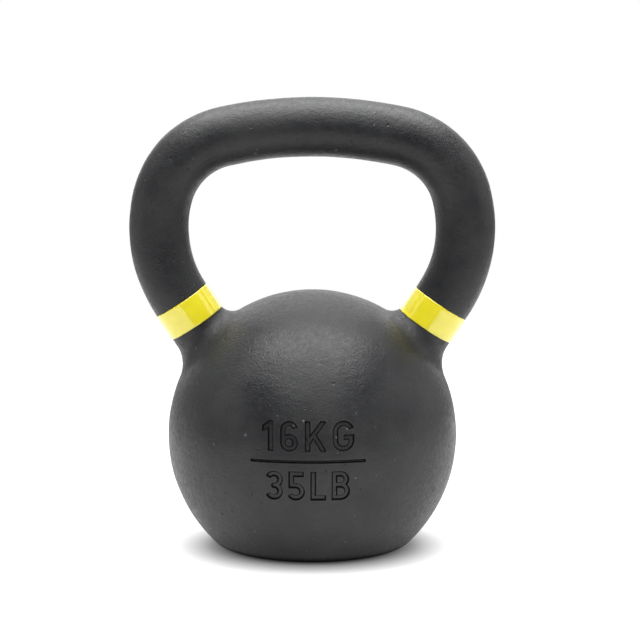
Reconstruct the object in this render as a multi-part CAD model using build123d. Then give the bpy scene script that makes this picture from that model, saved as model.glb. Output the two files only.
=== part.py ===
from build123d import *
import os
from math import sqrt

# Solid cast-iron kettlebell with a colour band round each horn of its handle.
# Millimetres. The origin is the centre of the flat base, +Z is up, +X runs along the grip,
# and the weight mark is sunk into the front of the bell, which faces -Y.

# Bell: a ball whose lower flank is drawn in a little fuller, cut flat underneath
BELL_RADIUS = 78.0
BELL_CENTRE_Z = 61.4
FLANK_RADIUS = 80.5
BASE_EDGE_RADIUS = 4.0

# Handle: one round bar, bent in the XZ plane from three tangent arcs a side and a straight horn
GRIP_RADIUS = 16.0
GRIP_TOP_Z = 227.4
CROWN_RADIUS = 217.5
CROWN_END_ANGLE = 12.56
SHOULDER_RADIUS = 43.5
SHOULDER_END_ANGLE = 75.0
ELBOW_RADIUS = 69.5
HORN_ANGLE = 123.5
HORN_LENGTH = 38.0
NECK_FILLET_RADIUS = 8.0

# Colour bands: thin sleeves round the straight horns, measured down from where the elbow ends
BAND_WIDTH = 15.0
BAND_THICKNESS = 0.25
LEFT_BAND_START = 0.3
RIGHT_BAND_START = 2.7

# Weight mark: two rows of plain capitals with a bar between them
MARK_CENTRE_X = -2.6
MARK_DEPTH = 0.9
STROKE = 3.0
CAP_HEIGHT = 15.8
KILOGRAM_ROW_BASE_Z = 65.5
KILOGRAM_ROW_WIDTH = 47.8
POUND_ROW_BASE_Z = 39.4
POUND_ROW_WIDTH = 43.4
BAR_LENGTH = 60.0
BAR_THICKNESS = 1.7
BAR_CENTRE_Z = 60.2
JOIN_OVERLAP = 0.2
MARK_CLEARANCE = 5.0

IRON_BLACK = Color(0.09, 0.09, 0.10)
BAND_YELLOW = Color(0.93, 0.80, 0.06)

HALF = STROKE / 2
LINE_BOTTOM = HALF
LINE_TOP = CAP_HEIGHT - HALF


def bell_body(growth=0.0):
    """The ball of the kettlebell, or the same form with its skin moved out by growth."""
    ball_radius = BELL_RADIUS + growth
    flank_radius = FLANK_RADIUS + growth
    flank_centre_r = BELL_RADIUS - FLANK_RADIUS
    base_radius = flank_centre_r + sqrt(flank_radius**2 - (BELL_CENTRE_Z + growth) ** 2)
    pole = (0, BELL_CENTRE_Z + ball_radius)
    equator = (ball_radius, BELL_CENTRE_Z)
    base_rim = (base_radius, -growth)
    upper = RadiusArc(pole, equator, ball_radius)
    lower = RadiusArc(equator, base_rim, flank_radius)
    floor_line = Line(base_rim, (0, -growth))
    axis_line = Line((0, -growth), pole)
    profile = Plane.YZ * make_face([upper, lower, floor_line, axis_line])
    body = revolve(profile, axis=Axis.Z)
    base_edge = body.edges().group_by(Axis.Z)[0]
    return fillet(base_edge, BASE_EDGE_RADIUS)


def handle_half_path():
    """Centreline of the handle's right half, from the middle of the grip down its horn."""
    crown = JernArc((0, GRIP_TOP_Z), (1, 0), CROWN_RADIUS, -CROWN_END_ANGLE)
    shoulder = JernArc(crown @ 1, crown % 1, SHOULDER_RADIUS, CROWN_END_ANGLE - SHOULDER_END_ANGLE)
    elbow = JernArc(shoulder @ 1, shoulder % 1, ELBOW_RADIUS, SHOULDER_END_ANGLE - HORN_ANGLE)
    horn = Line(elbow @ 1, elbow @ 1 + (elbow % 1) * HORN_LENGTH)
    return [Plane.XZ * piece for piece in (crown, shoulder, elbow, horn)]


def handle_bar(growth=0.0):
    """The round bar of the grip and both horns, with its ends run into the bell."""
    half = handle_half_path()
    section = Plane(origin=(0, 0, GRIP_TOP_Z), z_dir=(1, 0, 0)) * Circle(GRIP_RADIUS + growth)
    right = sweep(section, path=Wire([edge for piece in half for edge in piece.edges()]))
    return right + mirror(right, about=Plane.YZ)


def neck_edges(body, growth):
    """The two closed curves where the horns run into the bell."""
    centre = Vector(0, 0, BELL_CENTRE_Z)
    found = ShapeList()
    for edge in body.edges():
        from_centre = (edge @ 0.5 - centre).length
        on_ball = abs(from_centre - BELL_RADIUS - growth) < 0.01
        on_a_horn = edge.bounding_box().min.Z > BELL_CENTRE_Z and abs(edge.center().X) > GRIP_RADIUS
        if on_ball and on_a_horn:
            found.append(edge)
    return found


def plain_body(growth=0.0):
    """Bell, horns and grip as one form, with the blends at the necks and no mark."""
    body = bell_body(growth) + handle_bar(growth)
    return fillet(neck_edges(body, growth), NECK_FILLET_RADIUS - growth)


def pen(*lines):
    """One stroke of a letter, as a flat ribbon with square ends."""
    return trace(lines, line_width=STROKE)


def figure_one(width):
    """1: an upright with a flag."""
    stem_x = width - HALF
    stem = pen(Line((stem_x, 0), (stem_x, CAP_HEIGHT)))
    flag = pen(Line((-HALF, 0.66 * CAP_HEIGHT), (stem_x, LINE_TOP)))
    return stem + flag


def figure_six(width):
    """6: a round bowl under a slightly narrower hooked back."""
    bowl_radius = width / 2 - HALF
    hook_radius = bowl_radius - JOIN_OVERLAP
    top_z = LINE_TOP - hook_radius
    bowl_z = LINE_BOTTOM + bowl_radius
    back_x = width / 2 - hook_radius
    hook = CenterArc((width / 2, top_z), hook_radius, 12, 168)
    back = Line((back_x, top_z), (back_x, bowl_z))
    bowl = Circle(bowl_radius + HALF) - Circle(bowl_radius - HALF)
    return pen(hook, back) + Pos(width / 2, bowl_z) * bowl


def figure_three(width):
    """3: two open bowls, one on the other."""
    radius = (LINE_TOP - LINE_BOTTOM) / 4 + JOIN_OVERLAP / 2
    centre_x = width - HALF - radius
    upper = CenterArc((centre_x, LINE_TOP - radius), radius, 158, -248)
    lower = CenterArc((centre_x, LINE_BOTTOM + radius), radius, 90, -248)
    return pen(upper) + pen(lower)


def figure_five(width):
    """5: a flat top and upright over one open bowl."""
    radius = 0.21 * CAP_HEIGHT
    centre_x = width - HALF - radius
    waist_z = LINE_BOTTOM + 2 * radius
    roof = pen(Line((0, LINE_TOP), (width - 0.2 * STROKE, LINE_TOP)))
    upright = pen(Line((HALF, CAP_HEIGHT), (HALF, waist_z - HALF)))
    shelf = Line((HALF, waist_z), (centre_x, waist_z))
    bowl = CenterArc((centre_x, LINE_BOTTOM + radius), radius, 90, -244)
    return roof + upright + pen(shelf, bowl)


def letter_k(width):
    """K: an upright, a long arm and a leg."""
    stem = pen(Line((HALF, 0), (HALF, CAP_HEIGHT)))
    arm = pen(Line((HALF, 0.30 * CAP_HEIGHT), (width, 1.08 * CAP_HEIGHT)))
    leg = pen(Line((0.40 * width, 0.58 * CAP_HEIGHT), (width, -0.1 * CAP_HEIGHT)))
    return stem + arm + leg


def letter_g(width):
    """G: a tall open round with a spur."""
    radius = width / 2 - HALF
    top_z = LINE_TOP - radius
    bottom_z = LINE_BOTTOM + radius
    spur_z = 0.46 * CAP_HEIGHT
    right_x = width - HALF
    crown = CenterArc((width / 2, top_z), radius, 18, 162)
    back = Line((HALF, top_z), (HALF, bottom_z))
    bowl = CenterArc((width / 2, bottom_z), radius, 180, 180)
    upright = pen(Line((right_x, bottom_z), (right_x, spur_z + HALF)))
    spur = pen(Line((width / 2, spur_z), (width, spur_z)))
    return pen(crown, back, bowl) + upright + spur


def letter_l(width):
    """L: an upright and a foot."""
    stem = pen(Line((HALF, 0), (HALF, CAP_HEIGHT)))
    foot = pen(Line((0, LINE_BOTTOM), (width, LINE_BOTTOM)))
    return stem + foot


def letter_b(width):
    """B: an upright with two closed bowls."""
    waist_z = 0.53 * CAP_HEIGHT
    stem = pen(Line((HALF, 0), (HALF, CAP_HEIGHT)))
    bowls = stem
    for low_z, high_z, right_x in (
        (LINE_BOTTOM, waist_z + JOIN_OVERLAP, width - HALF),
        (waist_z - JOIN_OVERLAP, LINE_TOP, width - 1.3 * HALF),
    ):
        radius = (high_z - low_z) / 2
        centre_x = right_x - radius
        top = Line((HALF, high_z), (centre_x, high_z))
        turn = CenterArc((centre_x, low_z + radius), radius, 90, -180)
        back = Line((centre_x, low_z), (HALF, low_z))
        bowls += pen(top, turn, back)
    return bowls


def text_row(glyphs, row_width, base_z):
    """Glyphs, each a drawing function and its width, spaced evenly across one row."""
    gap = (row_width - sum(width for draw, width in glyphs)) / (len(glyphs) - 1)
    left_x = MARK_CENTRE_X - row_width / 2
    row = Sketch()
    for draw, width in glyphs:
        cell = Pos(width / 2, CAP_HEIGHT / 2) * Rectangle(width, CAP_HEIGHT)
        row += Pos(left_x, base_z) * (draw(width) & cell)
        left_x += width + gap
    return row


def weight_mark():
    """The mark's sunk volume: its outline, between the bell's skin and the mark's floor."""
    kilogram_glyphs = ((figure_one, 5.9), (figure_six, 9.3), (letter_k, 10.9), (letter_g, 11.3))
    pound_glyphs = ((figure_three, 8.6), (figure_five, 8.6), (letter_l, 8.2), (letter_b, 9.6))
    outline = text_row(kilogram_glyphs, KILOGRAM_ROW_WIDTH, KILOGRAM_ROW_BASE_Z)
    outline += text_row(pound_glyphs, POUND_ROW_WIDTH, POUND_ROW_BASE_Z)
    bar = SlotOverall(BAR_LENGTH, BAR_THICKNESS)
    outline += Pos(MARK_CENTRE_X, BAR_CENTRE_Z) * bar
    front = Plane.XZ.offset(BELL_RADIUS + MARK_CLEARANCE)
    prisms = extrude(front * outline, amount=-BELL_RADIUS / 2)
    return prisms - bell_body(-MARK_DEPTH)


def iron_casting():
    """Bell, horns and grip poured as one piece, with the weight mark sunk into the front."""
    return plain_body() - weight_mark()


def colour_band(side, start):
    """Thin band wrapped round one horn, which follows the start of the neck's flare.

    side is -1 on the left and +1 on the right; start is how far down the straight horn it begins.
    """
    horn = handle_half_path()[-1]
    direction = horn % 0
    seat = Plane(origin=horn @ 0 + direction * start, z_dir=direction)
    slab = extrude(seat * Circle(1.5 * GRIP_RADIUS), amount=BAND_WIDTH)
    band = slab & plain_body(BAND_THICKNESS)
    band -= plain_body()
    return band if side > 0 else mirror(band, about=Plane.YZ)


def main():
    os.makedirs("parts", exist_ok=True)
    nodes = {
        "iron_casting": (iron_casting(), IRON_BLACK),
        "left_colour_band": (colour_band(-1, LEFT_BAND_START), BAND_YELLOW),
        "right_colour_band": (colour_band(1, RIGHT_BAND_START), BAND_YELLOW),
    }
    for name, (solid, colour) in nodes.items():
        solid.label = name
        solid.color = colour
        export_step(solid, f"parts/{name}.step")
        print(f"{name}: {solid.volume / 1000:.1f} cm3, {solid.bounding_box()}")


main()
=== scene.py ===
from math import atan2, cos, pi, radians, sin, sqrt

import bmesh
import bpy
import numpy as np
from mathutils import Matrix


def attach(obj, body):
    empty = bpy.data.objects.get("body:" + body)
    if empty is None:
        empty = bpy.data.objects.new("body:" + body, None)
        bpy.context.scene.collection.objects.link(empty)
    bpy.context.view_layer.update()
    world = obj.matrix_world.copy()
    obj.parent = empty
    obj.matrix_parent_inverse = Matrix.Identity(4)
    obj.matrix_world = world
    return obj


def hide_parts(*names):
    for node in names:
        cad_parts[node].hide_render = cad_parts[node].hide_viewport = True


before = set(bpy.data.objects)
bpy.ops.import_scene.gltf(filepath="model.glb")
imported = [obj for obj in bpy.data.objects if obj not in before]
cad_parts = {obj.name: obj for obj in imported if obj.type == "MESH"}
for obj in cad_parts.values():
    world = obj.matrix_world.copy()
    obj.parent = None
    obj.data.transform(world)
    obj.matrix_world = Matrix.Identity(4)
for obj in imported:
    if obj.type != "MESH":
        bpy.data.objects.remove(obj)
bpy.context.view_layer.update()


# --- Iron casting: the blank ---------------------------------------------------------------
# Bell, horns and grip are poured in one piece of grey iron in a two-part sand mould.
# The blank is a round bar bent from tangent arcs, run into a ball that is cut flat underneath.

bell_radius = 0.0780
bell_centre_z = 0.0614
flank_radius = 0.0805
base_edge_radius = 0.004
grip_radius = 0.016
grip_top_z = 0.2274
bend_radii = (0.2175, 0.0435, 0.0695)
bend_ends = (radians(12.56), radians(75.0), radians(123.5))
horn_length = 0.038
neck_radius = 0.008
point_spacing = 0.002
horn_points = 12


def bend_centres():
    """Centres, in the XZ plane, of the three tangent arcs of the handle's right half."""
    centre = np.array([0.0, grip_top_z - bend_radii[0]])
    centres = [centre]
    for radius, tighter, end in zip(bend_radii, bend_radii[1:], bend_ends):
        centre = centre + (radius - tighter) * np.array([sin(end), cos(end)])
        centres.append(centre)
    return centres


def horn_line():
    """Where the straight horn begins on the right, and the direction it runs in."""
    turn = bend_ends[-1]
    start = bend_centres()[-1] + bend_radii[-1] * np.array([sin(turn), cos(turn)])
    return start, np.array([cos(turn), -sin(turn)])


def handle_points():
    """Points of the centreline from the left horn's foot, over the grip, to the right one's."""
    half = []
    begin = 0.0
    for centre, radius, end in zip(bend_centres(), bend_radii, bend_ends):
        steps = max(6, round((end - begin) * radius / point_spacing))
        for angle in np.linspace(begin, end, steps, endpoint=False):
            half.append(centre + radius * np.array([sin(angle), cos(angle)]))
        begin = end
    start, along = horn_line()
    for distance in np.linspace(0.0, horn_length, horn_points):
        half.append(start + distance * along)
    left = [(-x, 0.0, z) for x, z in reversed(half[1:])]
    return left + [(x, 0.0, z) for x, z in half]


def blank_tree(material):
    """Geometry tree: sweeps a round bar along the input line and sets the bell under it."""
    tree = bpy.data.node_groups.new("casting_blank", "GeometryNodeTree")
    tree.interface.new_socket("Centreline", in_out="INPUT", socket_type="NodeSocketGeometry")
    for name in ("Grip Radius", "Bell Radius", "Bell Centre Z"):
        tree.interface.new_socket(name, in_out="INPUT", socket_type="NodeSocketFloat")
    tree.interface.new_socket("Blank", in_out="OUTPUT", socket_type="NodeSocketGeometry")
    nodes, links = tree.nodes, tree.links
    inputs = nodes.new("NodeGroupInput")
    outputs = nodes.new("NodeGroupOutput")
    line = nodes.new("GeometryNodeMeshToCurve")
    section = nodes.new("GeometryNodeCurvePrimitiveCircle")
    section.inputs["Resolution"].default_value = 64
    bar = nodes.new("GeometryNodeCurveToMesh")
    bar.inputs["Fill Caps"].default_value = True
    ball = nodes.new("GeometryNodeMeshUVSphere")
    ball.inputs["Segments"].default_value = 128
    ball.inputs["Rings"].default_value = 96
    lift = nodes.new("ShaderNodeCombineXYZ")
    place = nodes.new("GeometryNodeTransform")
    position = nodes.new("GeometryNodeInputPosition")
    split = nodes.new("ShaderNodeSeparateXYZ")
    clamp = nodes.new("ShaderNodeMath")
    clamp.operation = "MAXIMUM"
    clamp.inputs[1].default_value = 0.0
    rebuild = nodes.new("ShaderNodeCombineXYZ")
    flatten = nodes.new("GeometryNodeSetPosition")
    join = nodes.new("GeometryNodeJoinGeometry")
    realise = nodes.new("GeometryNodeRealizeInstances")
    coated = nodes.new("GeometryNodeSetMaterial")
    coated.inputs["Material"].default_value = material
    links.new(inputs.outputs["Centreline"], line.inputs["Mesh"])
    links.new(inputs.outputs["Grip Radius"], section.inputs["Radius"])
    links.new(line.outputs["Curve"], bar.inputs["Curve"])
    links.new(section.outputs["Curve"], bar.inputs["Profile Curve"])
    links.new(inputs.outputs["Bell Radius"], ball.inputs["Radius"])
    links.new(inputs.outputs["Bell Centre Z"], lift.inputs["Z"])
    links.new(ball.outputs["Mesh"], place.inputs["Geometry"])
    links.new(lift.outputs["Vector"], place.inputs["Translation"])
    links.new(position.outputs["Position"], split.inputs["Vector"])
    links.new(split.outputs["Z"], clamp.inputs[0])
    links.new(split.outputs["X"], rebuild.inputs["X"])
    links.new(split.outputs["Y"], rebuild.inputs["Y"])
    links.new(clamp.outputs["Value"], rebuild.inputs["Z"])
    links.new(place.outputs["Geometry"], flatten.inputs["Geometry"])
    links.new(rebuild.outputs["Vector"], flatten.inputs["Position"])
    links.new(bar.outputs["Mesh"], join.inputs["Geometry"])
    links.new(flatten.outputs["Geometry"], join.inputs["Geometry"])
    links.new(join.outputs["Geometry"], realise.inputs["Geometry"])
    links.new(realise.outputs["Geometry"], coated.inputs["Geometry"])
    links.new(coated.outputs["Geometry"], outputs.inputs["Blank"])
    return tree


def cast_blank(cell, material):
    """The bar and bell as one closed skin of even faces about one cell across."""
    points = handle_points()
    line = bpy.data.meshes.new("centreline")
    line.from_pydata(points, [(i, i + 1) for i in range(len(points) - 1)], [])
    carrier = bpy.data.objects.new("casting_blank", line)
    bpy.context.scene.collection.objects.link(carrier)
    sweep = carrier.modifiers.new("sweep", "NODES")
    sweep.node_group = blank_tree(material)
    sizes = {
        "Grip Radius": grip_radius,
        "Bell Radius": bell_radius,
        "Bell Centre Z": bell_centre_z,
    }
    for item in sweep.node_group.interface.items_tree:
        if item.name in sizes:
            sweep[item.identifier] = sizes[item.name]
    skin = carrier.modifiers.new("skin", "REMESH")
    skin.mode = "VOXEL"
    skin.voxel_size = cell
    evaluated = carrier.evaluated_get(bpy.context.evaluated_depsgraph_get())
    mesh = bpy.data.meshes.new_from_object(evaluated)
    bpy.data.objects.remove(carrier)
    return mesh


def bar_distance(points):
    """How far each point is outside the round bar of the handle."""
    x = np.abs(points[:, 0])
    z = points[:, 2]
    in_plane = np.full(len(points), 1.0)
    begin = 0.0
    for centre, radius, end in zip(bend_centres(), bend_radii, bend_ends):
        dx, dz = x - centre[0], z - centre[1]
        angle = np.arctan2(dx, dz)
        on_arc = (angle >= begin) & (angle <= end)
        gap = np.abs(np.hypot(dx, dz) - radius)
        in_plane = np.where(on_arc, np.minimum(in_plane, gap), in_plane)
        begin = end
    start, along = horn_line()
    dx, dz = x - start[0], z - start[1]
    reach = np.clip(dx * along[0] + dz * along[1], 0.0, horn_length)
    gap = np.hypot(dx - reach * along[0], dz - reach * along[1])
    in_plane = np.minimum(in_plane, gap)
    return np.hypot(in_plane, points[:, 1]) - grip_radius


def bell_distance(points):
    """How far each point is outside the bell, with its base cut flat and its edge rounded."""
    across = np.hypot(points[:, 0], points[:, 1])
    rise = points[:, 2] - bell_centre_z
    ball = np.hypot(across, rise) - bell_radius
    flank = np.hypot(across - (bell_radius - flank_radius), rise) - flank_radius
    side = np.where(rise >= 0.0, ball, flank)
    under = -points[:, 2]
    edge = np.hypot(
        np.maximum(side + base_edge_radius, 0.0), np.maximum(under + base_edge_radius, 0.0)
    )
    return np.minimum(np.maximum(side, under), -base_edge_radius) + edge


def casting_distance(points):
    """Distance outside the whole casting, with the necks blended at their radius."""
    bell = bell_distance(points)
    bar = bar_distance(points)
    blend = np.hypot(np.maximum(neck_radius - bell, 0.0), np.maximum(neck_radius - bar, 0.0))
    return np.maximum(neck_radius, np.minimum(bell, bar)) - blend


slope_step = 0.00002


def outward(points):
    """Unit directions that lead straight out of the casting."""
    slope = np.empty_like(points)
    for axis in range(3):
        shift = np.zeros(3)
        shift[axis] = slope_step
        slope[:, axis] = casting_distance(points + shift) - casting_distance(points - shift)
    return slope / np.maximum(np.linalg.norm(slope, axis=1, keepdims=True), 1e-12)


def onto_casting(points, rounds=4):
    """Moves points onto the casting's true surface."""
    for _ in range(rounds):
        points = points - casting_distance(points)[:, None] * outward(points)
    return points


def mesh_points(mesh):
    """The mesh's points as rows of x, y and z."""
    flat = np.empty(len(mesh.vertices) * 3)
    mesh.vertices.foreach_get("co", flat)
    return flat.reshape(-1, 3)


def even_out(mesh, rounds, pull=0.6):
    """Slides the points along the skin towards their neighbours' middle, to even the faces."""
    points = mesh_points(mesh)
    pairs = np.empty(len(mesh.edges) * 2, dtype=int)
    mesh.edges.foreach_get("vertices", pairs)
    a, b = pairs.reshape(-1, 2).T
    count = np.bincount(a, minlength=len(points)) + np.bincount(b, minlength=len(points))
    for _ in range(rounds):
        total = np.zeros_like(points)
        np.add.at(total, a, points[b])
        np.add.at(total, b, points[a])
        middle = total / count[:, None]
        points = onto_casting((1.0 - pull) * points + pull * middle, rounds=1)
    points = onto_casting(points)
    mesh.vertices.foreach_set("co", points.ravel())


blank_cell = 0.0023
coat = bpy.data.materials.new("charcoal_powder_coat")
casting_mesh = cast_blank(blank_cell, coat)
even_out(casting_mesh, rounds=8)


# --- Iron casting: the weight mark ---------------------------------------------------------
# The mass is sunk into the front of the bell in plain capitals, kilograms over pounds, with a
# bar between. The pattern's letters leave even floors and short drafted walls in the iron.

mark_centre_x = -0.0026
mark_depth = 0.0009
stroke = 0.0030
cap_height = 0.0158
kilogram_row = (0.0655, 0.0478)
pound_row = (0.0394, 0.0434)
bar_length = 0.060
bar_thickness = 0.0017
bar_centre_z = 0.0602
wall_width = 0.00060
front_share = 0.8
half_stroke = stroke / 2
line_bottom = half_stroke
line_top = cap_height - half_stroke
joined = (False, False)


def line_stroke(x, z, x0, z0, x1, z1, width=stroke, square=(True, True)):
    """Distance outside a straight stroke; each end is square, or round where it is joined."""
    length = sqrt((x1 - x0) ** 2 + (z1 - z0) ** 2)
    ux, uz = (x1 - x0) / length, (z1 - z0) / length
    dx, dz = x - (x0 + x1) / 2, z - (z0 + z1) / 2
    along = dx * ux + dz * uz
    across = dz * ux - dx * uz
    found = np.hypot(across, np.maximum(np.abs(along) - length / 2, 0.0)) - width / 2
    flat = np.abs(across) - width / 2
    for cut, past in zip(square, (-along - length / 2, along - length / 2)):
        if cut:
            found = np.where(past > -width / 2, np.maximum(flat, past), found)
    return found


def arc_stroke(x, z, centre_x, centre_z, radius, begin, sweep, square=(False, False)):
    """Distance outside a round stroke; begin and sweep are in degrees, anticlockwise."""
    dx, dz = x - centre_x, z - centre_z
    ring = np.abs(np.hypot(dx, dz) - radius) - half_stroke
    if sweep >= 360:
        return ring
    turned = np.mod(np.arctan2(dz, dx) - radians(begin), 2 * pi)
    ends = [(cos(radians(a)), sin(radians(a))) for a in (begin, begin + sweep)]
    caps = [np.hypot(dx - radius * ux, dz - radius * uz) - half_stroke for ux, uz in ends]
    found = np.where(turned <= radians(sweep), ring, np.minimum(*caps))
    for cut, (ux, uz), way in zip(square, ends, (-1, 1)):
        past = way * (dz * ux - dx * uz)
        if cut:
            beside = (dx * ux + dz * uz > 0) & (past > -half_stroke)
            found = np.where(beside, np.maximum(ring, past), found)
    return found


def union(*parts):
    """Distance outside the nearest of several strokes."""
    return np.minimum.reduce(parts)


def figure_one(x, z, width):
    stem_x = width - half_stroke
    stem = line_stroke(x, z, stem_x, 0, stem_x, cap_height)
    flag = line_stroke(
        x, z, -half_stroke, 0.66 * cap_height, stem_x, line_top, square=(True, False)
    )
    return union(stem, flag)


def figure_six(x, z, width):
    radius = width / 2 - half_stroke
    top_z = line_top - radius
    bowl_z = line_bottom + radius
    hook = arc_stroke(x, z, width / 2, top_z, radius, 12, 168, square=(True, False))
    back = line_stroke(x, z, half_stroke, top_z, half_stroke, bowl_z, square=joined)
    bowl = arc_stroke(x, z, width / 2, bowl_z, radius, 0, 360)
    return union(hook, back, bowl)


def figure_three(x, z, width):
    radius = (line_top - line_bottom) / 4
    centre_x = width - half_stroke - radius
    upper = arc_stroke(
        x, z, centre_x, line_top - radius, radius, -90, 248, square=(False, True)
    )
    lower = arc_stroke(
        x, z, centre_x, line_bottom + radius, radius, -158, 248, square=(True, False)
    )
    return union(upper, lower)


def figure_five(x, z, width):
    radius = 0.21 * cap_height
    centre_x = width - half_stroke - radius
    waist_z = line_bottom + 2 * radius
    roof = line_stroke(x, z, 0, line_top, width - 0.2 * stroke, line_top)
    upright = line_stroke(x, z, half_stroke, cap_height, half_stroke, waist_z - half_stroke)
    shelf = line_stroke(x, z, half_stroke, waist_z, centre_x, waist_z, square=joined)
    bowl = arc_stroke(
        x, z, centre_x, line_bottom + radius, radius, -154, 244, square=(True, False)
    )
    return union(roof, upright, shelf, bowl)


def letter_k(x, z, width):
    stem = line_stroke(x, z, half_stroke, 0, half_stroke, cap_height)
    arm = line_stroke(
        x, z, half_stroke, 0.30 * cap_height, width, 1.08 * cap_height, square=joined
    )
    leg = line_stroke(
        x, z, 0.42 * width, 0.556 * cap_height, width, -0.1 * cap_height, square=joined
    )
    return union(stem, arm, leg)


def letter_g(x, z, width):
    radius = width / 2 - half_stroke
    top_z = line_top - radius
    bottom_z = line_bottom + radius
    spur_z = 0.46 * cap_height
    right_x = width - half_stroke
    crown = arc_stroke(x, z, width / 2, top_z, radius, 18, 162, square=(True, False))
    back = line_stroke(x, z, half_stroke, top_z, half_stroke, bottom_z, square=joined)
    bowl = arc_stroke(x, z, width / 2, bottom_z, radius, 180, 180)
    upright = line_stroke(
        x, z, right_x, bottom_z, right_x, spur_z + half_stroke, square=(False, True)
    )
    spur = line_stroke(x, z, width / 2, spur_z, width, spur_z)
    return union(crown, back, bowl, upright, spur)


def letter_l(x, z, width):
    stem = line_stroke(x, z, half_stroke, 0, half_stroke, cap_height)
    foot = line_stroke(x, z, 0, line_bottom, width, line_bottom)
    return union(stem, foot)


def letter_b(x, z, width):
    waist_z = 0.53 * cap_height
    found = line_stroke(x, z, half_stroke, 0, half_stroke, cap_height)
    for low_z, high_z, right_x in (
        (line_bottom, waist_z, width - half_stroke),
        (waist_z, line_top, width - 1.3 * half_stroke),
    ):
        radius = (high_z - low_z) / 2
        centre_x = right_x - radius
        top = line_stroke(x, z, half_stroke, high_z, centre_x, high_z, square=joined)
        turn = arc_stroke(x, z, centre_x, low_z + radius, radius, -90, 180)
        back = line_stroke(x, z, centre_x, low_z, half_stroke, low_z, square=joined)
        found = union(found, top, turn, back)
    return found


def text_row(x, z, glyphs, base_z, row_width):
    """Distance outside a row of glyphs spread evenly over its width."""
    gap = (row_width - sum(width for draw, width in glyphs)) / (len(glyphs) - 1)
    left_x = mark_centre_x - row_width / 2
    found = np.full(len(x), 1.0)
    for draw, width in glyphs:
        glyph = draw(x - left_x, z - base_z, width)
        cell = line_stroke(
            x - left_x, z - base_z, width / 2, 0, width / 2, cap_height, width=width
        )
        found = np.minimum(found, np.maximum(glyph, cell))
        left_x += width + gap
    return found


def mark_distance(x, z):
    """Distance outside the mark's outline, negative within its strokes."""
    kilograms = (
        (figure_one, 0.0059), (figure_six, 0.0093), (letter_k, 0.0109), (letter_g, 0.0113),
    )
    pounds = (
        (figure_three, 0.0086), (figure_five, 0.0086), (letter_l, 0.0082), (letter_b, 0.0096),
    )
    rows = np.minimum(
        text_row(x, z, kilograms, *kilogram_row), text_row(x, z, pounds, *pound_row)
    )
    reach = (bar_length - bar_thickness) / 2
    beyond = np.maximum(np.abs(x - mark_centre_x) - reach, 0.0)
    bar = np.hypot(beyond, z - bar_centre_z) - bar_thickness / 2
    return np.minimum(rows, bar)


def refine_near_mark(mesh, reach):
    """Splits the edges at the front of the bell that lie within reach of a stroke's wall."""
    points = mesh_points(mesh)
    near = np.abs(mark_distance(points[:, 0], points[:, 2]) + wall_width / 2) < reach
    near &= points[:, 1] < -front_share * bell_radius
    work = bmesh.new()
    work.from_mesh(mesh)
    work.verts.ensure_lookup_table()
    chosen = {
        edge
        for vert, wanted in zip(work.verts, near) if wanted
        for face in vert.link_faces
        for edge in face.edges
    }
    ordered = sorted(chosen, key=lambda edge: edge.index)
    bmesh.ops.subdivide_edges(work, edges=ordered, cuts=1, use_grid_fill=True)
    bmesh.ops.triangulate(work, faces=[face for face in work.faces if len(face.verts) > 4])
    work.to_mesh(mesh)
    work.free()
    mesh.vertices.foreach_set("co", onto_casting(mesh_points(mesh)).ravel())


def line_up_walls(points):
    """Slides the finest points along the skin so that rows of them follow the letter walls."""
    x, z = points[:, 0], points[:, 2]
    front = points[:, 1] < -front_share * bell_radius
    gap = mark_distance(x, z)
    step = slope_step
    slope_x = (mark_distance(x + step, z) - mark_distance(x - step, z)) / (2 * step)
    slope_z = (mark_distance(x, z + step) - mark_distance(x, z - step)) / (2 * step)
    moved = points.copy()
    for line in (0.0, -wall_width):
        close = front & (np.abs(gap - line) < finest_cell / 2)
        moved[close, 0] -= ((gap - line) * slope_x)[close]
        moved[close, 2] -= ((gap - line) * slope_z)[close]
    return moved


refine_reaches = (0.0034, 0.0018, 0.0009, 0.00042)
finest_cell = blank_cell / 2 ** len(refine_reaches)
for reach in refine_reaches:
    refine_near_mark(casting_mesh, reach)
skin_points = onto_casting(line_up_walls(mesh_points(casting_mesh)))
skin_out = outward(skin_points)
wall_gap = mark_distance(skin_points[:, 0], skin_points[:, 2])
on_front = skin_points[:, 1] < -front_share * bell_radius
sunk = np.clip(-wall_gap / wall_width, 0.0, 1.0)
sunk = np.where(on_front, sunk * mark_depth, 0.0)


# --- Iron casting: the hand-finished skin and its powder coat ------------------------------
# Sand leaves the skin slightly uneven, and a charcoal powder coat is baked on over it. The coat
# sets with a fine orange peel, pits and nibs and rubs light on the lips of the letters. Painted
# shade darkens its pinholes, letter walls and foot, and its nibs are painted light as glints.

unevenness = 0.00005
wave_count = 40
shortest_wave = 0.013
longest_wave = 0.045
base_fade = 0.006
wave_crest = 2.2
draw = np.random.default_rng(16)


def hand_finish(points):
    """Gentle hollows of the sand skin, always inwards, faded out on the flat base."""
    total = np.zeros(len(points))
    for _ in range(wave_count):
        direction = draw.normal(size=3)
        direction /= np.linalg.norm(direction)
        length = draw.uniform(shortest_wave, longest_wave)
        phase = draw.uniform(0.0, 2 * pi)
        total += np.sin(2 * pi / length * points @ direction + phase)
    spread = unevenness * sqrt(2.0 / wave_count)
    fade = np.clip(points[:, 2] / base_fade, 0.0, 1.0)
    return fade * np.minimum(total * spread - wave_crest * unevenness, 0.0)


skin_offset = hand_finish(skin_points) - sunk
finished = skin_points + skin_out * skin_offset[:, None]
finished[:, 2] = np.maximum(finished[:, 2], 0.0)
casting_mesh.vertices.foreach_set("co", finished.ravel())
lip_offset, lip_width = 0.00015, 0.0006
foot_rub_z, foot_rub_width = 0.006, 0.0025
letter_rub_strength, foot_rub_strength = 0.6, 0.5
# Painted shade: sizes of the darkening along the letter walls and just above the base.
shade_peak, shade_centre, shade_half_width = 1.6, 0.6, 0.5
foot_shade_height = 0.0030


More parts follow.
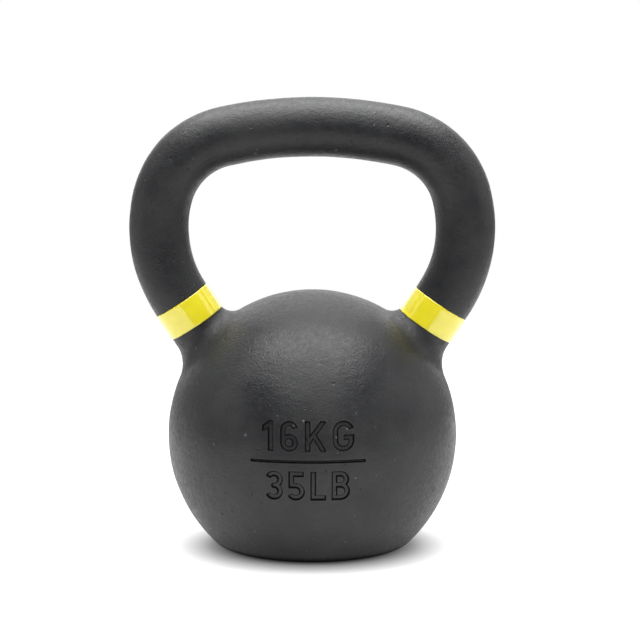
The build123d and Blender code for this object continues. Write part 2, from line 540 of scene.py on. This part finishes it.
def ramp(values):
    """Values held between none and full."""
    return np.clip(values, 0.0, 1.0)


lip_gap = np.abs(wall_gap - lip_offset)
letter_rub = np.where(on_front, ramp(1.0 - lip_gap / lip_width), 0.0)
foot_rub = ramp(1.0 - np.abs(finished[:, 2] - foot_rub_z) / foot_rub_width)
rub = casting_mesh.attributes.new("edge_rub", "FLOAT", "POINT")
rub.data.foreach_set(
    "value", np.maximum(letter_rub_strength * letter_rub, foot_rub_strength * foot_rub)
)
# Painted shade: the coat is darkened along the foot of each letter wall and close above the base,
# where shade falls.
down_wall = wall_gap / wall_width + shade_centre
wall_shade = ramp(shade_peak - np.abs(down_wall) / shade_half_width)
foot_shade = ramp(shade_peak - finished[:, 2] / foot_shade_height)
shade_and_dirt = casting_mesh.attributes.new("shade_and_dirt", "FLOAT", "POINT")
shade_and_dirt.data.foreach_set("value", np.maximum(np.where(on_front, wall_shade, 0.0), foot_shade))


def node(tree, kind, **settings):
    """A node with its properties and, by socket name, its input values set."""
    made = tree.nodes.new(kind)
    for name, value in settings.items():
        if hasattr(made, name):
            setattr(made, name, value)
        else:
            made.inputs[name.replace("_", " ")].default_value = value
    return made


def noise(tree, place, scale, detail, roughness=0.5):
    """Cloudy noise, with scale patches to the metre."""
    made = node(tree, "ShaderNodeTexNoise", Scale=scale, Detail=detail, Roughness=roughness)
    tree.links.new(place, made.inputs["Vector"])
    return made.outputs["Fac"]


def remap(tree, source, low, high, to_low, to_high):
    """Spreads the stretch low..high of a value over to_low..to_high."""
    made = node(tree, "ShaderNodeMapRange")
    made.inputs["From Min"].default_value = low
    made.inputs["From Max"].default_value = high
    made.inputs["To Min"].default_value = to_low
    made.inputs["To Max"].default_value = to_high
    tree.links.new(source, made.inputs["Value"])
    return made.outputs["Result"]


def blend_colour(tree, factor, first, second):
    """Mixes two colours, each a tuple or a socket, by a factor socket."""
    made = node(tree, "ShaderNodeMix", data_type="RGBA")
    tree.links.new(factor, made.inputs["Factor"])
    for socket, value in ((made.inputs[6], first), (made.inputs[7], second)):
        if isinstance(value, tuple):
            socket.default_value = value
        else:
            tree.links.new(value, socket)
    return made.outputs[2]


def combine(tree, operation, first, second):
    """One arithmetic step on two values, each a number or a socket."""
    made = node(tree, "ShaderNodeMath", operation=operation)
    for socket, value in zip(made.inputs, (first, second)):
        if isinstance(value, (int, float)):
            socket.default_value = value
        else:
            tree.links.new(value, socket)
    return made.outputs["Value"]


def relief(tree, height, distance, below=None):
    """A bump of the given depth in metres, laid over the bump below it."""
    made = node(tree, "ShaderNodeBump", Distance=distance)
    made.inputs["Strength"].default_value = 1.0
    tree.links.new(height, made.inputs["Height"])
    if below is not None:
        tree.links.new(below, made.inputs["Normal"])
    return made.outputs["Normal"]


def scattered_spots(tree, place, scale, share, size):
    """Round spots of a given size, in a given share of the cells of a scattered grid."""
    cells = node(tree, "ShaderNodeTexVoronoi", Scale=scale)
    tree.links.new(place, cells.inputs["Vector"])
    pick = node(tree, "ShaderNodeSeparateColor")
    tree.links.new(cells.outputs["Color"], pick.inputs["Color"])
    chosen = combine(tree, "LESS_THAN", pick.outputs["Red"], share)
    grown = combine(tree, "MULTIPLY", pick.outputs["Green"], size)
    rise = combine(tree, "DIVIDE", cells.outputs["Distance"], grown)
    bowl = combine(tree, "SUBTRACT", 1.0, rise)
    return combine(tree, "MULTIPLY", combine(tree, "MAXIMUM", bowl, 0.0), chosen)


charcoal = (0.0145, 0.0149, 0.0165, 1.0)
faded_charcoal = (0.0285, 0.0289, 0.0302, 1.0)
rubbed_lip = (0.06, 0.06, 0.062, 1.0)
# Light colour painted on the nibs as glints.
nib_glint = (0.17, 0.17, 0.17, 1.0)
# Near black, painted as shade in the pinholes, along the letter walls and round the foot.
painted_shade_black = (0.002, 0.002, 0.002, 1.0)
white = (1.0, 1.0, 1.0, 1.0)
# Darker reflection tint of the painted shade along the letter walls and round the foot.
shade_reflection_tint = (0.25, 0.25, 0.25, 1.0)
crease_depth = 0.00026
ripple_depth = 0.00018
peel_depth = 0.00020
pit_depth = 0.0006


def powder_coat(material):
    """Charcoal powder coat with orange peel and rubbed lips, painted glints on nibs, and painted
    shade in pits, letter walls and foot.
    """
    material.use_nodes = True
    tree = material.node_tree
    shader = tree.nodes["Principled BSDF"]
    shader.inputs["IOR"].default_value = 1.5
    shader.inputs["Specular IOR Level"].default_value = 0.38
    place = node(tree, "ShaderNodeTexCoord").outputs["Object"]
    stretched = node(tree, "ShaderNodeMapping")
    stretched.inputs["Scale"].default_value = (0.6, 0.6, 1.2)
    tree.links.new(place, stretched.inputs["Vector"])
    patches = noise(tree, place, 34.0, 3.0)
    grain = noise(tree, place, 420.0, 2.0)
    peel = noise(tree, place, 1000.0, 2.0)
    ripple = noise(tree, place, 300.0, 3.0, roughness=0.55)
    creases = noise(tree, stretched.outputs["Vector"], 110.0, 3.0, roughness=0.6)
    nibs = scattered_spots(tree, place, 190.0, 0.40, 0.20)
    pinholes = scattered_spots(tree, place, 210.0, 0.50, 0.24)
    gathered = remap(tree, noise(tree, place, 22.0, 2.0), 0.42, 0.58, 0.20, 1.0)
    nibs = combine(tree, "MULTIPLY", nibs, gathered)
    pinholes = combine(tree, "MULTIPLY", pinholes, gathered)
    worn = node(tree, "ShaderNodeAttribute", attribute_name="edge_rub").outputs["Fac"]
    worn = combine(tree, "MULTIPLY", worn, remap(tree, grain, 0.35, 0.65, 0.2, 1.0))
    shade_and_dirt = node(tree, "ShaderNodeAttribute", attribute_name="shade_and_dirt").outputs["Fac"]
    fading = remap(tree, patches, 0.35, 0.65, 0.0, 1.0)
    tone = blend_colour(tree, fading, charcoal, faded_charcoal)
    tone = blend_colour(tree, combine(tree, "MULTIPLY", worn, 0.4), tone, rubbed_lip)
    # Nibs painted light as glints.
    tone = blend_colour(tree, nibs, tone, nib_glint)
    # Pinholes painted near black as shade in the pits.
    tone = blend_colour(tree, pinholes, tone, painted_shade_black)
    # Painted shade: colour and reflection tint darkened along the letter walls and round the
    # foot.
    shaded_specular = blend_colour(tree, shade_and_dirt, white, shade_reflection_tint)
    tree.links.new(shaded_specular, shader.inputs["Specular Tint"])
    tone = blend_colour(tree, shade_and_dirt, tone, painted_shade_black)
    tree.links.new(tone, shader.inputs["Base Color"])
    dull = remap(tree, patches, 0.3, 0.7, 0.38, 0.48)
    dull = combine(tree, "ADD", dull, remap(tree, grain, 0.3, 0.7, -0.08, 0.08))
    dull = combine(tree, "ADD", dull, combine(tree, "MULTIPLY", shade_and_dirt, 0.5))
    tree.links.new(dull, shader.inputs["Roughness"])
    surface = relief(tree, creases, crease_depth)
    surface = relief(tree, ripple, ripple_depth, surface)
    surface = relief(tree, peel, peel_depth, surface)
    surface = relief(tree, combine(tree, "SUBTRACT", nibs, pinholes), pit_depth, surface)
    tree.links.new(surface, shader.inputs["Normal"])


def show(mesh, name, material):
    """Puts a finished mesh in the scene, smooth-shaded, with its one material."""
    mesh.name = name
    mesh.materials.clear()
    mesh.materials.append(material)
    mesh.shade_smooth()
    piece = bpy.data.objects.new(name, mesh)
    bpy.context.scene.collection.objects.link(piece)
    return piece


powder_coat(coat)
casting = show(casting_mesh, "coated_casting", coat)
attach(casting, "root")
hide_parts("iron_casting")


# --- Colour bands --------------------------------------------------------------------------
# A strip of glossy yellow vinyl is wrapped once round each horn over the coat, just above the
# neck, and its tail laps over its start at the back. It marks the weight by its colour.

band_width = 0.0150
tape_thickness = 0.00018
lap_length = radians(24.0)
lap_rise = 0.10
edge_round = 0.00006
band_starts = {"left": 0.0003, "right": 0.0027}
steps_round = 260
steps_along = 22


def wrapped_band(side, start):
    """A closed strip that goes once round the horn and laps over itself at the back."""
    foot, along = horn_line()
    sign = -1.0 if side == "left" else 1.0
    origin = np.array([sign * foot[0], 0.0, foot[1]])
    down = np.array([sign * along[0], 0.0, along[1]])
    back = np.array([0.0, 1.0, 0.0])
    sideways = np.cross(down, back)
    turns = np.linspace(-lap_length / 2, 2 * pi + lap_length / 2, steps_round)
    rows = []
    for t in np.linspace(0.0, 1.0, steps_along):
        rows.append((edge_round + t * (band_width - 2 * edge_round), 1.0))
    under = [(t * band_width, 0.0) for t in np.linspace(1.0, 0.0, steps_along)]
    section = [(0.0, 0.6)] + rows + [(band_width, 0.6)] + under
    rings = []
    for turn in turns:
        ray = cos(turn) * back + sin(turn) * sideways
        over = ramp((turn - (2 * pi - lap_length / 2 - lap_rise)) / lap_rise)
        raise_by = tape_thickness * (3 - 2 * over) * over * over
        wander = 0.00005 * sin(5 * turn) + 0.00003 * sin(13 * turn + 1.0)
        spine = np.array([origin + down * (start + s + wander) for s, _ in section])
        seat = onto_casting(spine + ray * grip_radius, rounds=8)
        lift = np.array([h * tape_thickness + raise_by for _, h in section])
        tuck = np.array([edge_round if h == 0.0 and over == 0.0 else 0.0 for _, h in section])
        rings.append(seat + outward(seat) * (lift - tuck)[:, None])
    count = len(section)
    points = np.concatenate(rings)
    faces = []
    for i in range(len(rings) - 1):
        for j in range(count):
            k = (j + 1) % count
            faces.append((i * count + j, i * count + k, (i + 1) * count + k, (i + 1) * count + j))
    faces.append(tuple(range(count)))
    last = (len(rings) - 1) * count
    faces.append(tuple(last + j for j in reversed(range(count))))
    mesh = bpy.data.meshes.new(side + "_band")
    mesh.from_pydata([tuple(p) for p in points], [], faces)
    work = bmesh.new()
    work.from_mesh(mesh)
    bmesh.ops.recalc_face_normals(work, faces=work.faces)
    work.to_mesh(mesh)
    work.free()
    return mesh


yellow = (0.96, 0.82, 0.012, 1.0)
bright_yellow = (1.0, 0.88, 0.016, 1.0)
finger_dirt = (0.30, 0.24, 0.03, 1.0)
gloss_roughness = 0.09
gloss_index = 1.8
vinyl_ripple_depth = 0.00003
vinyl_grain_depth = 0.000008


def band_vinyl():
    """Yellow vinyl under a clear gloss, with a faint rolled grain and slight handling dirt."""
    material = bpy.data.materials.new("yellow_band_vinyl")
    material.use_nodes = True
    tree = material.node_tree
    shader = tree.nodes["Principled BSDF"]
    shader.inputs["IOR"].default_value = 1.5
    place = node(tree, "ShaderNodeTexCoord").outputs["Object"]
    clouds = noise(tree, place, 120.0, 3.0)
    grain = noise(tree, place, 1500.0, 2.0)
    ripple = noise(tree, place, 180.0, 1.0)
    shade_and_dirt = scattered_spots(tree, place, 260.0, 0.05, 0.10)
    brighter = remap(tree, clouds, 0.35, 0.65, 0.0, 1.0)
    tone = blend_colour(tree, brighter, yellow, bright_yellow)
    tone = blend_colour(tree, combine(tree, "MULTIPLY", shade_and_dirt, 0.7), tone, finger_dirt)
    shader.inputs["Coat Weight"].default_value = 1.0
    shader.inputs["Coat Roughness"].default_value = gloss_roughness
    shader.inputs["Coat IOR"].default_value = gloss_index
    tree.links.new(tone, shader.inputs["Base Color"])
    tree.links.new(remap(tree, clouds, 0.3, 0.7, 0.38, 0.46), shader.inputs["Roughness"])
    surface = relief(tree, ripple, vinyl_ripple_depth)
    surface = relief(tree, grain, vinyl_grain_depth, surface)
    tree.links.new(surface, shader.inputs["Normal"])
    return material


vinyl = band_vinyl()
for side, start in band_starts.items():
    band = show(wrapped_band(side, start), side + "_wrapped_band", vinyl)
    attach(band, "root")
    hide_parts(side + "_colour_band")


# --- Studio --------------------------------------------------------------------------------
# A square white acrylic table glows from within, its glow fading out round the object's foot as a
# painted shadow. It stands under a large overhead soft box with weaker ones behind and at the
# sides, before a white surround. The camera stands about a metre and a half in front, a little
# above the grip.

scene = bpy.context.scene
scene.view_settings.view_transform = "Standard"
table_half = 0.75
table_glow = 0.66
# Painted shadow: the radii over which the table's glow rises from none to full round the object's
# foot.
painted_shadow_radii = (0.044, 0.074)
acrylic = (0.35, 0.35, 0.35, 1.0)
clear_acrylic = (0.37, 0.37, 0.37, 1.0)
light_aim = (0.0, 0.0, 0.12)
overall_brightness = 1.4
surround_light = 0.02


def white_table():
    """The table top, its glow fading out towards the middle as a painted shadow round the
    object's foot.
    """
    material = bpy.data.materials.new("white_table")
    material.use_nodes = True
    tree = material.node_tree
    shader = tree.nodes["Principled BSDF"]
    shader.inputs["Roughness"].default_value = 0.9
    shader.inputs["Specular IOR Level"].default_value = 0.0
    place = node(tree, "ShaderNodeTexCoord").outputs["Object"]
    tone = blend_colour(tree, noise(tree, place, 3.0, 2.0), acrylic, clear_acrylic)
    tree.links.new(tone, shader.inputs["Base Color"])
    shader.inputs["Emission Color"].default_value = white
    reach = node(tree, "ShaderNodeVectorMath", operation="LENGTH")
    tree.links.new(place, reach.inputs[0])
    # No glow near the middle: a painted contact shadow round the object's foot.
    glow = remap(tree, reach.outputs["Value"], *painted_shadow_radii, 0.0, table_glow)
    tree.links.new(glow, shader.inputs["Emission Strength"])
    mesh = bpy.data.meshes.new("table")
    h = table_half
    corners = [(-h, -h, 0), (h, -h, 0), (h, h, 0), (-h, h, 0)]
    mesh.from_pydata(corners, [], [(0, 1, 2, 3)])
    table = show(mesh, "table", material)


def soft_box(name, place, size, brightness):
    """A rectangular soft light at a place, aimed at the middle of the object."""
    lamp = bpy.data.lights.new(name, "AREA")
    lamp.shape = "RECTANGLE"
    lamp.size, lamp.size_y = size
    lamp.energy = overall_brightness * pi * size[0] * size[1] * brightness
    box = bpy.data.objects.new(name, lamp)
    scene.collection.objects.link(box)
    box.location = place
    aim = np.array(light_aim) - np.array(place)
    level = sqrt(aim[0] ** 2 + aim[1] ** 2)
    box.rotation_euler = (pi / 2 + atan2(aim[2], level), 0.0, atan2(-aim[0], aim[1]))
    box.visible_camera = False


white_table()
soft_box("overhead", (0.0, 0.10, 1.30), (1.6, 1.3), 4.7)
soft_box("high_front", (0.0, -0.90, 1.10), (1.4, 0.7), 1.57)
soft_box("high_back", (0.0, 1.10, 1.10), (1.6, 0.8), 0.86)
soft_box("back", (0.0, 1.60, 0.50), (2.0, 1.0), 0.96)
soft_box("left", (-1.30, 0.0, 0.50), (1.0, 1.0), 0.46)
soft_box("right", (1.30, 0.0, 0.50), (1.0, 1.0), 0.78)
soft_box("left_back", (-0.95, 0.95, 0.50), (1.0, 1.0), 0.36)
soft_box("right_back", (0.95, 0.95, 0.50), (1.0, 1.0), 0.41)

world = bpy.data.worlds.new("white_surround")
world.use_nodes = True
tree = world.node_tree
tree.nodes.clear()
seen = node(tree, "ShaderNodeBackground")
seen.inputs["Color"].default_value = white
seen.inputs["Strength"].default_value = 1.0
lit = node(tree, "ShaderNodeBackground")
lit.inputs["Color"].default_value = white
lit.inputs["Strength"].default_value = surround_light
ray_kind = node(tree, "ShaderNodeLightPath")
either = node(tree, "ShaderNodeMixShader")
tree.links.new(ray_kind.outputs["Is Camera Ray"], either.inputs[0])
tree.links.new(lit.outputs[0], either.inputs[1])
tree.links.new(seen.outputs[0], either.inputs[2])
surround = node(tree, "ShaderNodeOutputWorld")
tree.links.new(either.outputs[0], surround.inputs["Surface"])
scene.world = world

camera_distance = 1.500
camera_height = 0.3347
camera_sideways = -0.0082
camera_tilt = 0.14008
camera_turn = 0.00821
lens_length = 158.1
film_width = 36.0
camera = bpy.data.objects.new("camera", bpy.data.cameras.new("camera"))
camera.data.lens = lens_length
camera.data.sensor_width = film_width
camera.location = (camera_sideways, -camera_distance, camera_height)
camera.rotation_euler = (pi / 2 - camera_tilt, 0.0, -camera_turn)
scene.collection.objects.link(camera)
scene.camera = camera
